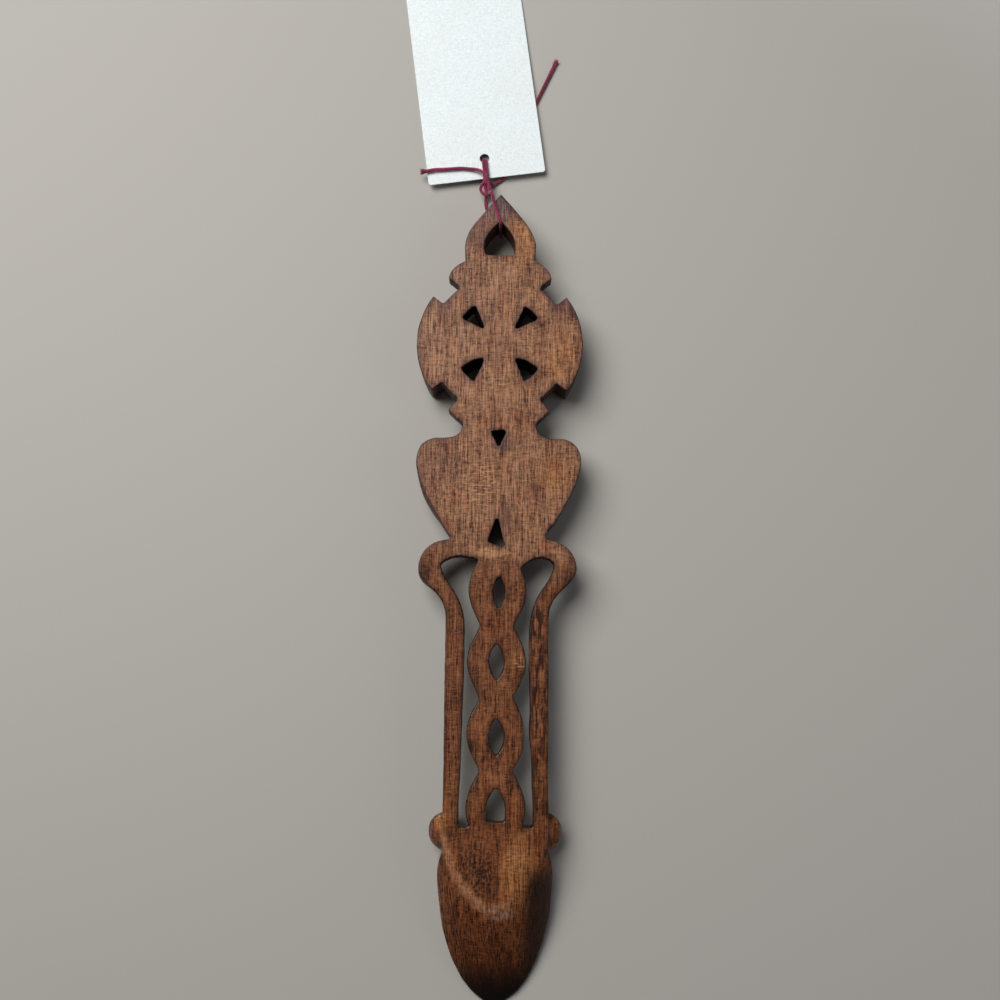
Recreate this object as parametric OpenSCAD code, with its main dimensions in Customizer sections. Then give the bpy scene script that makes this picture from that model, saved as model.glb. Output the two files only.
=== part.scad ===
// Carved wooden love spoon with a hanging string and a card tag. Millimetres.
// It lies face down: the carved face is at z = 0 and the flat back at the board's top.
// X is the width, +Y runs from the bowl to the hanging hole, and x = 0 is the spoon's axis.

/* [Board] */
// Thickness of the board that the spoon is carved from
board_t = 18; // [16:0.5:22]

/* [Bowl] */
// Length from the tip of the bowl to the foot of the slots
bowl_len = 72.9; // [66:0.5:80]
// Width of the bowl at its widest
bowl_w = 47.6; // [46:0.2:50]
// Distance from the tip to the widest place
bowl_widest = 53.8; // [48:0.2:56]
// Slope of the bowl's back towards the tip, in degrees
bowl_slope = 19; // [17.5:0.5:19.5]
// Radius of the bowl's back across its width
bowl_back_r = 33; // [30:1:42]
// Distance from the tip to the end of the flat back
bowl_flat_end = 43; // [41:0.1:44]
// Depth of the hollow
hollow_d = 11.2; // [8:0.2:12]
// Width of the rim round the hollow
rim_w = 3; // [2.4:0.1:4]
// Radius of the round knob on each side where bowl and handle meet
knob_r = 8.2; // [7:0.1:8.8]
// How far the middle of a knob lies inside the handle's edge
knob_inset = 1.9; // [1:0.1:4]
// How far the middle of a knob lies below the foot of the slots
knob_drop = 2; // [0:0.1:4]

/* [Open panel] */
// Length of the open panel
panel_len = 110.9; // [96:0.5:130]
// Width of the panel across its two rails
panel_w = 43; // [41:0.5:46]
// Thickness of the rails and links
panel_t = 8; // [6:0.5:11]
// Width of the opening between the rails
window_w = 27; // [26:0.2:29]
// Number of links in the twist
links = 4; // [3:1:5]
// Width of a link
link_w = 24.4; // [23:0.2:25]
// Width of the twist where two links meet
waist_w = 13.6; // [10:0.2:15]
// Widths of the eyes through the links, from the top
eye_w = [4.9, 6.3, 6.4, 7.6, 6.4]; // [4:0.1:8]
// Depth that the lower strand dips where two strands cross
strand_dip = 1.6; // [0.8:0.1:2.4]

/* [Shoulders and hearts] */
// Width across the shoulders of the panel
shoulder_w = 66.6; // [62:0.2:72]
// Thickness of the shoulder band
shoulder_t = 10.5; // [9:0.5:14]
// Height of the shoulder band over the panel
band_h = 8.9; // [7:0.1:12]
// Width of the waist between shoulders and hearts
waist2_w = 41.2; // [38:0.2:46]
// Width across the two hearts
hearts_w = 70.6; // [66:0.2:76]
// Height of the hearts
hearts_h = 48.6; // [44:0.2:54]
// Depth of the groove between the hearts
heart_groove = 3.5; // [2:0.5:7]

/* [Cross] */
// Distance from the foot of the cross to its centre
cross_foot = 35.5; // [34:0.1:38]
// Distance from the centre of the cross to the finial
cross_head = 37.2; // [36:0.1:40]
// Radius over the ends of the cross's side arms
cross_r = 36.1; // [34:0.1:38]
// Inner radius of the ring
ring_in_r = 20; // [18.5:0.1:21.5]
// Outer radius of the ring
ring_out_r = 30.3; // [29:0.1:31.5]
// Thickness of the ring
ring_t = 11; // [9:0.5:14]
// Thickness of the ears on the cross's upright
ear_t = 7.5; // [6:0.5:10]
// Half width of an arm at its root
arm_root = 6.4; // [5:0.1:7.5]
// Width across the ears
ears_w = 45.2; // [44:0.2:47]
// Width of the neck between cross and hearts
neck_w = 31.8; // [30:0.2:34]

/* [Finial] */
// Height of the pointed top
finial_h = 31.5; // [30:0.5:36]
// Width of the pointed top
finial_w = 31.4; // [30:0.2:34]
// Thickness of the pointed top
finial_t = 14.5; // [12:0.5:15]
// How much thinner the point is shaved at the back
finial_shave = 0.8; // [0:0.1:1.5]
// Height of the hanging hole
hole_h = 15.4; // [14:0.1:16]
// Width of the hanging hole
hole_w = 12.9; // [12:0.1:14]
// Height of the hole's flat foot over the foot of the finial
hole_base = 3.1; // [2.5:0.1:4]

/* [Card tag] */
// Width of the tag
tag_w = 54; // [50:0.5:60]
// Length of the tag
tag_len = 110; // [95:1:120]
// Thickness of the card
tag_t = 0.45; // [0.3:0.05:0.8]
// Diameter of the punched hole
tag_hole_d = 4.5; // [4.4:0.1:6]
// Distance from the tag's edge to the middle of the hole
tag_hole_edge = 9.9; // [9:0.1:12]
// Radius of the tag's corners
tag_corner_r = 1.2; // [0.4:0.1:4]

/* [String] */
// Diameter of the yarn
yarn_d = 1.5; // [1.2:0.05:1.6]
// Diameter of the knot
knot_d = 4.6; // [3.8:0.1:5]
// Length of the knot
knot_len = 6.6; // [6:0.1:6.8]

/* [Hidden] */
$fn = 64;
eps = 0.01;
over = 1;

// Stations along the axis, from the tip of the bowl upwards
spoon_len = bowl_len + panel_len + band_h + hearts_h + cross_foot + cross_head + finial_h;
y_tip = -spoon_len / 2;
y_slot = y_tip + bowl_len;
y_gap = y_slot + panel_len;
y_waist = y_gap + band_h;
y_neck = y_waist + hearts_h;
y_cross = y_neck + cross_foot;
y_finial = y_cross + cross_head;

// Twist of links
first_drop = 13.8;
last_rise = 8.3;
y_belly = y_gap - first_drop;
link_pitch = (panel_len - first_drop - last_rise) / (links - 1);
link_step = 9;
// How far each eye was cut off its place: they were cut by hand
eye_dx = [0.6, 0.1, 0, 0];
eye_dy = [-0.8, 0, -1.1, 0];

// Points of a curve with two handles, without its first point
function curve(a, b, c, d, n = 10) = [for (i = [1:n]) let (t = i / n, s = 1 - t)
    s * s * s * a + 3 * s * s * t * b + 3 * s * t * t * c + t * t * t * d];

// A half outline drawn on the right and its mirror image
module both() {
    children();
    mirror([1, 0]) children();
}

// A flat shape as wood from the back down to the given thickness
module wood(t, y = 0) {
    translate([0, y, board_t - t]) linear_extrude(t) children();
}

// A flat shape cut right through the board
module through(y = 0) {
    translate([0, y, -over]) linear_extrude(board_t + 2 * over) children();
}

// FINIAL: a pointed arch with a pointed hanging hole
module finial_outline() {
    w = finial_w / 2;
    shoulder = 6.5;
    polygon(concat([[0, finial_h]],
        curve([0, finial_h], [0.54 * w, finial_h - 9.8], [w, finial_h - 17], [w, shoulder]),
        [[w - 0.3, -over], [0, -over]]));
}

// Half of the hole; the left one is cut a little wider
module hanging_hole_outline(wider) {
    w = hole_w / 2 + wider;
    side = 3.3;
    polygon(concat([[0, hole_h]],
        curve([0, hole_h], [0.56 * w, hole_h - 3.5], [w, hole_h - 6.5], [w, side]),
        curve([w, side], [w, 1.2], [w - 0.3, 0], [w - 1.2, 0], 4), [[0, 0]]));
}

// CROSS: an upright, two side arms with round ends, and a ring
module upright_outline() {
    ear = ears_w / 2;
    head = finial_w / 2 - 0.3;
    neck = neck_w / 2;
    ear_y = 29.2;
    notch_x = 18.5;
    polygon(concat([[0, cross_head], [head, cross_head]],
        curve([head, cross_head], [head + 2.8, cross_head - 0.8], [ear, ear_y + 4], [ear, ear_y], 8),
        [[notch_x, ear_y - 3.2], [10.9, 17], [arm_root, arm_root], [arm_root, -arm_root],
        [10.9, -17], [notch_x, -ear_y + 3.6], [ear - 0.5, -ear_y - 0.6], [neck, -cross_foot],
        [0, -cross_foot]]));
}

module side_arm_outline() {
    cusp_x = 29.2;
    intersection() {
        circle(cross_r, $fn = 160);
        polygon([[-over, arm_root], [arm_root, arm_root], [16.3, 11], [cusp_x, 21.2],
            [cross_r + over, 24], [cross_r + over, -24], [cusp_x, -21.2], [16.3, -10.8],
            [11.3, -7.6], [arm_root, -arm_root], [-over, -arm_root]]);
    }
}

module ring_outline() {
    difference() {
        circle(ring_out_r, $fn = 120);
        circle(ring_in_r, $fn = 120);
    }
}

// The upright stands proud between its ears; the ears themselves are thinner
module ears_outline() {
    ear = ears_w / 2;
    polygon([[neck_w / 2, 0], [ear + over, 0], [ear + over, cross_head + over],
        [finial_w / 2, cross_head + over]]);
}

module cross() {
    difference() {
        wood(board_t, y_cross) both() upright_outline();
        translate([0, y_cross, 0]) for (side = [0, 1], end = [0, 1]) {
            mirror([side, 0, 0]) mirror([0, end, 0]) translate([0, 0, -over])
                linear_extrude(board_t - ear_t + over) intersection() {
                    ears_outline();
                    translate([0, ring_out_r / 2 + 2]) square(cross_r + over);
                }
        }
        // The head of the upright steps down to the finial's face
        translate([-cross_r, y_cross + cross_head - 3, -over])
            cube([2 * cross_r, finial_h, board_t - finial_t + over]);
    }
    wood(board_t, y_cross) both() side_arm_outline();
    wood(ring_t, y_cross) ring_outline();
}

// HEARTS: a pair side by side with a groove between them
module hearts_outline() {
    w = hearts_w / 2;
    neck = neck_w / 2;
    foot = waist2_w / 2;
    top = hearts_h - 6.3;
    widest = hearts_h - 16.1;
    polygon(concat([[0, hearts_h], [neck, hearts_h], [neck, hearts_h - 1.1]],
        curve([neck, hearts_h - 1.1], [neck, top + 1.7], [neck + 3.1, top], [24, top], 6),
        curve([24, top], [w - 3.8, top + 0.3], [w, top - 3.7], [w, widest]),
        curve([w, widest], [w, widest - 7.5], [w - 4.3, 16.5], [foot, 0]),
        [[foot, -over], [0, -over]]));
}

// The cleft between the hearts' lobes, and the gap between their points that runs into the band
module cleft_outline() {
    polygon([[-3.6, 45.5], [3.2, 45.6], [0, 38.3]]);
}

module points_gap_outline() {
    polygon([[-0.4, 8.6], [-4.2, -2.2], [3.1, -5]]);
}

module hearts() {
    groove_half = 2.2;
    difference() {
        wood(board_t, y_waist) both() hearts_outline();
        through(y_waist) cleft_outline();
        through(y_waist) points_gap_outline();
        // A groove parts the hearts on their face, and each has its own cleft
        translate([0, y_waist + hearts_h / 2, 0]) rotate([90, 0, 0])
            linear_extrude(hearts_h + over, center = true)
            polygon([[-groove_half, -eps], [groove_half, -eps], [0, heart_groove]]);
        for (side = [-1, 1]) translate([side * 17.6, y_waist + hearts_h - 4.2, -over])
            linear_extrude(heart_groove + over) polygon([[-4, 3], [4, 3], [0, -7]]);
    }
}

// SHOULDERS: a rounded band that turns down into the two rails
module shoulders_outline() {
    w = shoulder_w / 2;
    foot = waist2_w / 2;
    rail = panel_w / 2;
    bulge = -4.3;
    polygon(concat([[0, band_h], [foot, band_h], [foot, band_h - 1]],
        curve([foot, band_h - 1], [foot + 6.4, band_h - 1.6], [w, 3.2], [w, bulge]),
        curve([w, bulge], [w, bulge - 8], [rail, bulge - 9.5], [rail, bulge - 21.5]),
        [[0, bulge - 21.5]]));
}

// The opening between the rails; its inner top corner lies at a height of its own
module window_outline(top_x, top_y, peak_y, end_x, end_y) {
    w = window_w / 2;
    wide = 23.9;
    foot_x = w + 1.6;
    polygon(concat([[0, top_y - 0.6], [top_x, top_y]],
        curve([top_x, top_y], [top_x + 5.5, peak_y - 2.1], [end_x - 5, peak_y], [end_x, end_y]),
        curve([end_x, end_y], [end_x + 1, end_y - 1], [wide + 0.4, -2.6], [wide - 0.2, -4.6], 4),
        curve([wide - 0.2, -4.6], [wide - 2.2, -12.5], [w + 0.5, -15], [w, -30.3]),
        [[w, 21 - panel_len * 0.62], [foot_x, 8 - panel_len], [foot_x, 1.2 - panel_len]],
        curve([foot_x, 1.2 - panel_len], [foot_x - 0.6, -panel_len], [foot_x - 2, -panel_len],
            [foot_x - 3.2, 0.8 - panel_len], 4),
        [[0, 0.8 - panel_len]]));
}

// TWIST: two strands that cross between the links
function phase(i) = i * link_step;
function link_out(c) = waist_w / 2 + (link_w - waist_w) / 2 * c;
function link_in(c, k) = (eye_w[k] + waist_w) / 2 * c - waist_w / 2;

// One side of the twist, from the first link to the last
function twist_side() = [for (i = [-0.48 * 180 / link_step : (links - 0.6) * 180 / link_step])
    [link_out(abs(cos(phase(i)))), -phase(i) / 180 * link_pitch]];

module twist_outline() {
    side = twist_side();
    low = side[len(side) - 1];
    polygon(concat([[0, side[0][1]]], side, [[low[0], y_slot - over - y_belly],
        [0, y_slot - over - y_belly]]));
}

// The eye through a link: pointed at both ends
module eye_outline(k) {
    reach = acos(waist_w / (eye_w[k] + waist_w));
    points = [for (i = [-6:6]) let (a = reach * i / 6)
        [max(0, link_in(cos(a), k)), -a / 180 * link_pitch]];
    polygon(points);
}

// The last link's eye is an arch on a flat foot
module arch_outline(k) {
    reach = acos(waist_w / (eye_w[k] + waist_w));
    foot = -5.4;
    points = [for (i = [-6:0]) let (a = reach * i / 6)
        [max(0, link_in(cos(a), k)), -a / 180 * link_pitch]];
    polygon(concat(points, [[eye_w[k] / 2, foot], [0, foot]]));
}

// The strand that lies lower on the face between links k and k + 1
module lower_strand_outline(k) {
    turns = [for (i = [5:15]) 180 * i / 20];
    right = [for (a = turns) [a < 90 ? link_out(cos(a)) : -link_in(-cos(a), k + 1),
        -a / 180 * link_pitch]];
    left = [for (i = [len(turns) - 1:-1:0]) let (a = turns[i])
        [a < 90 ? link_in(cos(a), k) : -link_out(-cos(a)), -a / 180 * link_pitch]];
    polygon(concat(right, left));
}

module crossing_dip(k) {
    lean = k % 2;
    translate([0, y_belly - k * link_pitch, board_t - panel_t - over]) mirror([lean, 0, 0])
        linear_extrude(strand_dip + over) difference() {
            lower_strand_outline(k);
            mirror([1, 0]) lower_strand_outline(k);
        }
}

module panel() {
    difference() {
        union() {
            wood(shoulder_t, y_gap) both() shoulders_outline();
            translate([-panel_w / 2, y_slot - over, board_t - panel_t])
                cube([panel_w, panel_len - 20, panel_t]);
        }
        // Below the shoulders the band thins to the rails
        translate([-shoulder_w / 2, y_slot - over, -over])
            cube([shoulder_w, panel_len - 12 + over, board_t - panel_t + over]);
        difference() {
            through(y_gap) window_outline(8, -5.8, 1.6, 22.8, -1.4);
            wood(board_t + 2 * over, y_gap) translate([-2 * shoulder_w, -2 * panel_len])
                square([2 * shoulder_w, 3 * panel_len]);
            through(y_belly) both() twist_outline();
        }
        difference() {
            through(y_gap) mirror([1, 0]) window_outline(6, -1.4, 1.9, 23.3, -2.4);
            wood(board_t + 2 * over, y_gap) translate([0, -2 * panel_len])
                square([2 * shoulder_w, 3 * panel_len]);
            through(y_belly) both() twist_outline();
        }
        for (k = [0:links - 2]) through(y_belly - k * link_pitch + eye_dy[k])
            translate([eye_dx[k], 0]) both() eye_outline(k);
        through(y_belly - (links - 1) * link_pitch) both() arch_outline(links - 1);
        for (k = [0:links - 2]) crossing_dip(k);
        through(y_waist) points_gap_outline();
    }
}

// BOWL: an egg-shaped outline with a sloping round back and a smooth hollow
function bowl_side(inset) = let (w = bowl_w / 2 - inset, widest = bowl_widest)
    curve([w, widest], [w, widest - 18.2], [w - 5.2, 6.2 + inset], [0, inset], 14);

module bowl_outline() {
    w = bowl_w / 2;
    rail = panel_w / 2;
    polygon(concat([[0, bowl_len + over], [rail, bowl_len + over], [rail, bowl_len - 8]],
        curve([rail, bowl_len - 8], [rail + 1, bowl_len - 12], [w, bowl_widest + 5],
            [w, bowl_widest], 6),
        bowl_side(0)));
}

module bowl_back() {
    reach = 120;
    bulge_r = 500;
    translate([0, y_tip + bowl_flat_end, board_t]) rotate([90 + bowl_slope, 0, 0])
        translate([0, -bowl_back_r, -reach / 2]) rotate_extrude($fn = 120) intersection() {
            translate([bowl_back_r - bulge_r, reach / 2]) circle(bulge_r, $fn = 360);
            square([bowl_back_r + over, reach]);
        }
}

// The hollow is turned about a line under the rim, so that it is shallower than wide
module bowl_hollow() {
    w = bowl_w / 2 - rim_w;
    under = (w * w - hollow_d * hollow_d) / (2 * hollow_d);
    back = bowl_widest + 13;
    half = concat(curve([0, back], [w - 6, back], [w, back - 6], [w, bowl_widest], 8),
        bowl_side(rim_w));
    turned = [for (p = half) [sqrt(p[0] * p[0] + under * under), p[1]]];
    translate([0, y_tip, -under]) rotate([-90, 0, 0]) rotate_extrude($fn = 120)
        polygon(concat([[0, back], [under, back]], turned, [[0, rim_w]]));
}

module bowl() {
    difference() {
        intersection() {
            wood(board_t, y_tip) both() bowl_outline();
            bowl_back();
        }
        bowl_hollow();
        // The handle's end is as thin as the rails
        translate([-bowl_w, y_slot - 2, -over])
            cube([2 * bowl_w, bowl_len, board_t - panel_t + over]);
    }
}

module knobs() {
    knob_lift = 0.3;
    x = panel_w / 2 - knob_inset;
    for (side = [-1, 1]) translate([side * x, y_slot - knob_drop, knob_r + knob_lift]) sphere(knob_r);
}

// The knobs end short of the slots and of the hollow
module between_knobs() {
    w = window_w + 5.2;
    translate([-w / 2, y_slot - w, -over]) cube([w, 2 * w, board_t + 2 * over]);
}

module finial() {
    difference() {
        wood(finial_t, y_finial) both() finial_outline();
        through(y_finial + hole_base) {
            hanging_hole_outline(0);
            mirror([1, 0]) hanging_hole_outline(0.6);
        }
        // The back slopes away to the point, so that the yarn over it stays off the wall
        translate([-finial_w, y_finial, board_t]) rotate([-atan(finial_shave / finial_h), 0, 0])
            cube([2 * finial_w, 2 * finial_h, board_t]);
    }
}

module spoon() {
    color([0.42, 0.26, 0.17]) union() {
        finial();
        cross();
        hearts();
        panel();
        bowl();
        difference() {
            knobs();
            between_knobs();
        }
    }
}

// STRING: one length of yarn, tied round the finial and through the tag in one knot
// A round tube swept along a route, square to it at each point
function unit(v) = v / norm(v);
function along(p, i) = let (n = len(p) - 1)
    unit(i == 0 ? p[1] - p[0] : i == n ? p[n] - p[n - 1] : unit(p[i + 1] - p[i]) + unit(p[i] - p[i - 1]));
function sideways(t, last) = unit(last - (last * t) * t);
function frames(p, i, last) = let (t = along(p, i), s = sideways(t, last))
    i == len(p) - 1 ? [s] : concat([s], frames(p, i + 1, s));
function tube_points(p, r, sides) = let (f = frames(p, 0, unit(cross(along(p, 0), [0.3, 0.2, 0.9]))))
    [for (i = [0:len(p) - 1]) let (t = along(p, i), s = f[i], u = cross(t, s))
        for (k = [0:sides - 1]) let (a = 360 * k / sides) p[i] + r * (cos(a) * s + sin(a) * u)];
function tube_faces(n, sides) = concat([[for (k = [sides - 1:-1:0]) k]],
    [for (i = [0:n - 2], k = [0:sides - 1]) let (a = i * sides + k, b = i * sides + (k + 1) % sides)
        each [[a, b, b + sides], [a, b + sides, a + sides]]],
    [[for (k = [0:sides - 1]) (n - 1) * sides + k]]);

module tube(route) {
    sides = 8;
    polyhedron(tube_points(route, yarn_d / 2, sides), tube_faces(len(route), sides), 4);
}

// The middle of the knot, and the yarn's way from the knot over the back, down through the
// hanging hole and back under the face
knot = [-6.3, 182.2, 3.4];

neck_route = [[-5.2, 179.2, 4.8], [-5, 178, 7.2], [-4.7, 176.6, 10.4], [-4.5, 175.4, 13.4],
    [-4.3, 174.2, 16.4], [-4, 172.8, 18.2], [-3.5, 170.6, 18.7], [-2.9, 168, 18.6],
    [-2.2, 165.2, 18.6], [-1.4, 162.4, 18.7], [-0.6, 159.9, 18.8], [-0.1, 158.7, 18.4],
    [0, 158.2, 17.2], [0, 158.2, 14.6], [0, 158.2, 11.8], [0, 158.2, 9], [0, 158.2, 6.2],
    [0, 158.2, 4.2], [-0.2, 158.8, 2.4], [-0.9, 160.4, 1.2], [-2.2, 163, 1], [-3.6, 165.8, 1],
    [-5, 168.8, 1], [-6.2, 171.8, 1], [-7, 174.8, 1.1], [-7, 177.4, 1.5], [-6.4, 179.2, 2.4]];

// Two turns side by side from the knot through the tag's hole and back under the card
function tag_turn(dx) = [[-6.9 + dx, 186.1, 4.6], [-7 + dx, 188.4, 4.5],
    [-7.3 + dx, 191.2, 4.3], [-7.6 + dx, 194.1, 4.1], [-7.7 + dx, 195.6, 3.3],
    [-7.7 + dx, 195.8, 1.9], [-7.6 + dx, 194.2, 1.1], [-7.3 + dx, 191.2, 1],
    [-7 + dx, 188.4, 1], [-6.9 + dx, 186.1, 1.6]];
turn_gap = 0.8;

tail_left_route = [[-6.6, 186.3, 6.1], [-7.6, 187.6, 6.2], [-9.4, 189.2, 5.7], [-11.6, 190.2, 4.8],
    [-14.3, 190.7, 4.3], [-17.4, 191, 4.2], [-20.6, 190.9, 4.2], [-23.8, 190.6, 4.2],
    [-27, 190.4, 4.2], [-30.2, 190.2, 4.2], [-33.4, 189.6, 4.1], [-36.6, 188.9, 3.6]];

tail_right_route = [[-4.4, 183.8, 1.8], [-2, 185.6, 0.9], [0.8, 187.6, 0.8], [3, 190.2, 0.8],
    [4.6, 193.4, 0.8], [5.8, 196.8, 0.8], [7, 200.2, 0.8], [8.2, 203.6, 0.8],
    [9.4, 207, 0.8], [10.6, 210.4, 0.8], [11.8, 213.8, 0.8], [13, 217.2, 0.8],
    [14.2, 220.6, 0.8], [15.5, 224, 0.8], [16.9, 227.3, 0.8], [18.4, 230.6, 0.8],
    [19.9, 233.9, 0.8], [21.4, 237.2, 0.8], [22.9, 240.5, 0.8], [24.3, 243.6, 0.8],
    [25.4, 246.2, 0.8]];

yarn_colour = [0.55, 0.07, 0.27];

module string_neck_loop() {
    color(yarn_colour) tube(neck_route);
}

module string_knot() {
    knot_turned = 13;
    bulge_r = 6;
    color(yarn_colour) translate(knot) rotate([90, 0, knot_turned]) rotate_extrude() intersection() {
        translate([0, -knot_len / 2]) square([knot_d, knot_len]);
        translate([knot_d / 2 - bulge_r, 0]) circle(bulge_r);
    }
}

module string_tail_right() {
    color(yarn_colour) tube(tail_right_route);
}

module string_tag_loop() {
    color(yarn_colour) {
        tube(tag_turn(-turn_gap));
        tube(tag_turn(turn_gap));
    }
}

module string_tail_left() {
    color(yarn_colour) tube(tail_left_route);
}

// TAG: a card laid on the right tail of the string, so its near edge is lifted
tag_at = [-6.45, 186.75, 2.85];
tag_turned = 7.6;
tag_tilt = 1.43;

module tag() {
    r = tag_corner_r;
    color([0.9, 0.9, 0.88]) translate(tag_at) rotate([0, 0, tag_turned]) rotate([-tag_tilt, 0, 0])
        difference() {
            linear_extrude(tag_t) union() {
                translate([-tag_w / 2 + r, 0]) square([tag_w - 2 * r, tag_len]);
                translate([-tag_w / 2, r]) square([tag_w, tag_len - 2 * r]);
                for (x = [-1, 1], y = [0, 1])
                    translate([x * (tag_w / 2 - r), y == 0 ? r : tag_len - r]) circle(r);
            }
            translate([0, tag_hole_edge, -over]) cylinder(d = tag_hole_d, h = tag_t + 2 * over);
        }
}

spoon();
string_neck_loop();
string_knot();
string_tail_right();
string_tag_loop();
string_tail_left();
tag();
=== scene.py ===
import math
import random

import bmesh
import bpy
import numpy as np
from mathutils import Euler, Matrix, Vector, kdtree, noise


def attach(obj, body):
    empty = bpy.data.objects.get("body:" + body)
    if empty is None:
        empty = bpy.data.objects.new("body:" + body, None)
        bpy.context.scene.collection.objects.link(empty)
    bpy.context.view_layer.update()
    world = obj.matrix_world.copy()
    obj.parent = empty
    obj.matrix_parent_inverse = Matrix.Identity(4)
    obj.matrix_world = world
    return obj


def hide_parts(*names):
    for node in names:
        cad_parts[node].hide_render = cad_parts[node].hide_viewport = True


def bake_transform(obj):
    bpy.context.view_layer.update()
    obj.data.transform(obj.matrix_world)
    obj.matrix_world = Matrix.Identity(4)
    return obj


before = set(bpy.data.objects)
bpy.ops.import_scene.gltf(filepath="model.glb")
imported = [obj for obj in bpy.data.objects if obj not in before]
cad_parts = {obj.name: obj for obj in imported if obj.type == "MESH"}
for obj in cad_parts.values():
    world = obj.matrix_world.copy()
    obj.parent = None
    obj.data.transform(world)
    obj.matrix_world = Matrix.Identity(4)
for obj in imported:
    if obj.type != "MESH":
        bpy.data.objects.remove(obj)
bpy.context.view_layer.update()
MM = 0.001


# Camera: it looks down on the back of the spoon, tipped a little towards the hanging hole.
CAMERA_AT = Vector((1.3, -23.8, 439.0))
CAMERA_TIPPED, CAMERA_TURNED = math.radians(8), math.radians(0.5)
SENSOR, LENS = 36, 36.07
camera = bpy.data.objects.new("camera", bpy.data.cameras.new("camera"))
bpy.context.scene.collection.objects.link(camera)
camera.data.sensor_width = SENSOR
camera.data.lens = LENS
camera.data.clip_start = 10 * MM
camera.location = CAMERA_AT * MM
camera.rotation_euler = Euler((CAMERA_TIPPED, 0, CAMERA_TURNED))
bpy.context.scene.camera = camera


# Yarn: one length of crimson craft yarn, three soft strands twisted together.
# It goes round the pointed top through the hanging hole, is knotted in front of the tip, and
# its ends turn through the hole of the tag. Each stretch is swept along points in millimetres.
def smooth_route(points, step=0.3):
    """Points every step millimetres along a smooth curve through the given ones."""
    p = [Vector(q) for q in points]
    p = [2 * p[0] - p[1]] + p + [2 * p[-1] - p[-2]]
    line = []
    for a, b, c, d in zip(p, p[1:], p[2:], p[3:]):
        parts = max(2, round((c - b).length / step))
        for i in range(parts):
            t = i / parts
            line.append(0.5 * (2 * b + (c - a) * t + (2 * a - 5 * b + 4 * c - d) * t ** 2
                               + (3 * b - a - 3 * c + d) * t ** 3))
    return line + [p[-2]]


def square_to(line):
    """Two directions square to the line at each of its points, turning as little as they can."""
    sides, last = [], Vector((0.3, 0.2, 0.9))
    for i, point in enumerate(line):
        along = (line[min(i + 1, len(line) - 1)] - line[max(i - 1, 0)]).normalized()
        last = (last - last.dot(along) * along).normalized()
        sides.append((last, along.cross(last), along))
    return sides


def sweep(mesh, line, radius, sides=8):
    """Adds a round closed tube along the line; radius is a function of the place from 0 to 1."""
    rings = []
    for i, (point, (s, u, _)) in enumerate(zip(line, square_to(line))):
        r = radius(i / (len(line) - 1))
        turn = [2 * math.pi * k / sides for k in range(sides)]
        rings.append([mesh.verts.new(point + r * (math.cos(a) * s + math.sin(a) * u))
                      for a in turn])
    for low, high in zip(rings, rings[1:]):
        for k in range(sides):
            n = (k + 1) % sides
            mesh.faces.new((low[k], low[n], high[n], high[k]))
    mesh.faces.new(rings[0][::-1])
    mesh.faces.new(rings[-1])


# Sizes in millimetres: the yarn across, a strand's radius and how far out it lies, the length of
# one full turn of the strands, and the thickest parts of a loose and of a frayed fibre
YARN_D = 1.5
STRANDS = 3
STRAND_R, STRAND_OUT = 0.37, 0.40
TWIST = 4.0
LOOSE_R, FRAYED_R = 0.028, 0.17


def spin(mesh, line, phase=0.0, swell=0.0):
    """Strands twisted round the line, that loosen towards its end by the share swell."""
    frames = square_to(line)
    travel, places = 0.0, [0.0]
    for a, b in zip(line, line[1:]):
        travel += (b - a).length
        places.append(travel)
    for k in range(STRANDS):
        strand = []
        for point, (s, u, _), place in zip(line, frames, places):
            a = phase + 2 * math.pi * (k / STRANDS + place / TWIST)
            out = STRAND_OUT * (1 + swell * (place / travel) ** 4)
            strand.append(point + out * (math.cos(a) * s + math.sin(a) * u))
        plump = random.Random(k + len(line))
        offset = plump.random() * 6
        sweep(mesh, strand,
              lambda t: STRAND_R * (1 + swell * t ** 4)
              * (1 + 0.07 * math.sin(37 * t + offset) * math.sin(11 * t)), 7)


def fuzz(mesh, line, count, seed, longest):
    """Short loose fibres that stand off the yarn."""
    dice = random.Random(seed)
    frames = square_to(line)
    for _ in range(count):
        i = dice.randrange(2, len(line) - 2)
        s, u, along = frames[i]
        a = dice.uniform(0, 2 * math.pi)
        out = math.cos(a) * s + math.sin(a) * u
        lean = along * dice.choice((-1, 1)) * dice.uniform(0.3, 1.2)
        reach = dice.uniform(0.3, longest)
        root = line[i] + out * YARN_D * 0.42
        bend = out * reach * 0.5 + lean * reach * 0.35
        tip = out * reach * 0.75 + lean * reach
        sweep(mesh, [root, root + bend, root + tip], lambda t: LOOSE_R * (1.05 - t), 3)


def fray(mesh, line, seed, count=44, reach=2.0):
    """The cut end of the yarn, where its fibres have come untwisted and spread."""
    dice = random.Random(seed)
    s, u, along = square_to(line)[-1]
    for _ in range(count):
        a = dice.uniform(0, 2 * math.pi)
        out = math.cos(a) * s + math.sin(a) * u
        root = line[-1] - along * dice.uniform(0.8, 2.2) + out * dice.uniform(0.2, 0.8)
        far = along * reach * dice.uniform(0.5, 1.0) + out * dice.uniform(0.2, 1.1)
        sweep(mesh, [root, root + 0.4 * far, root + 0.7 * far, root + far],
              lambda t: FRAYED_R * (1.15 - t), 4)


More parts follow.
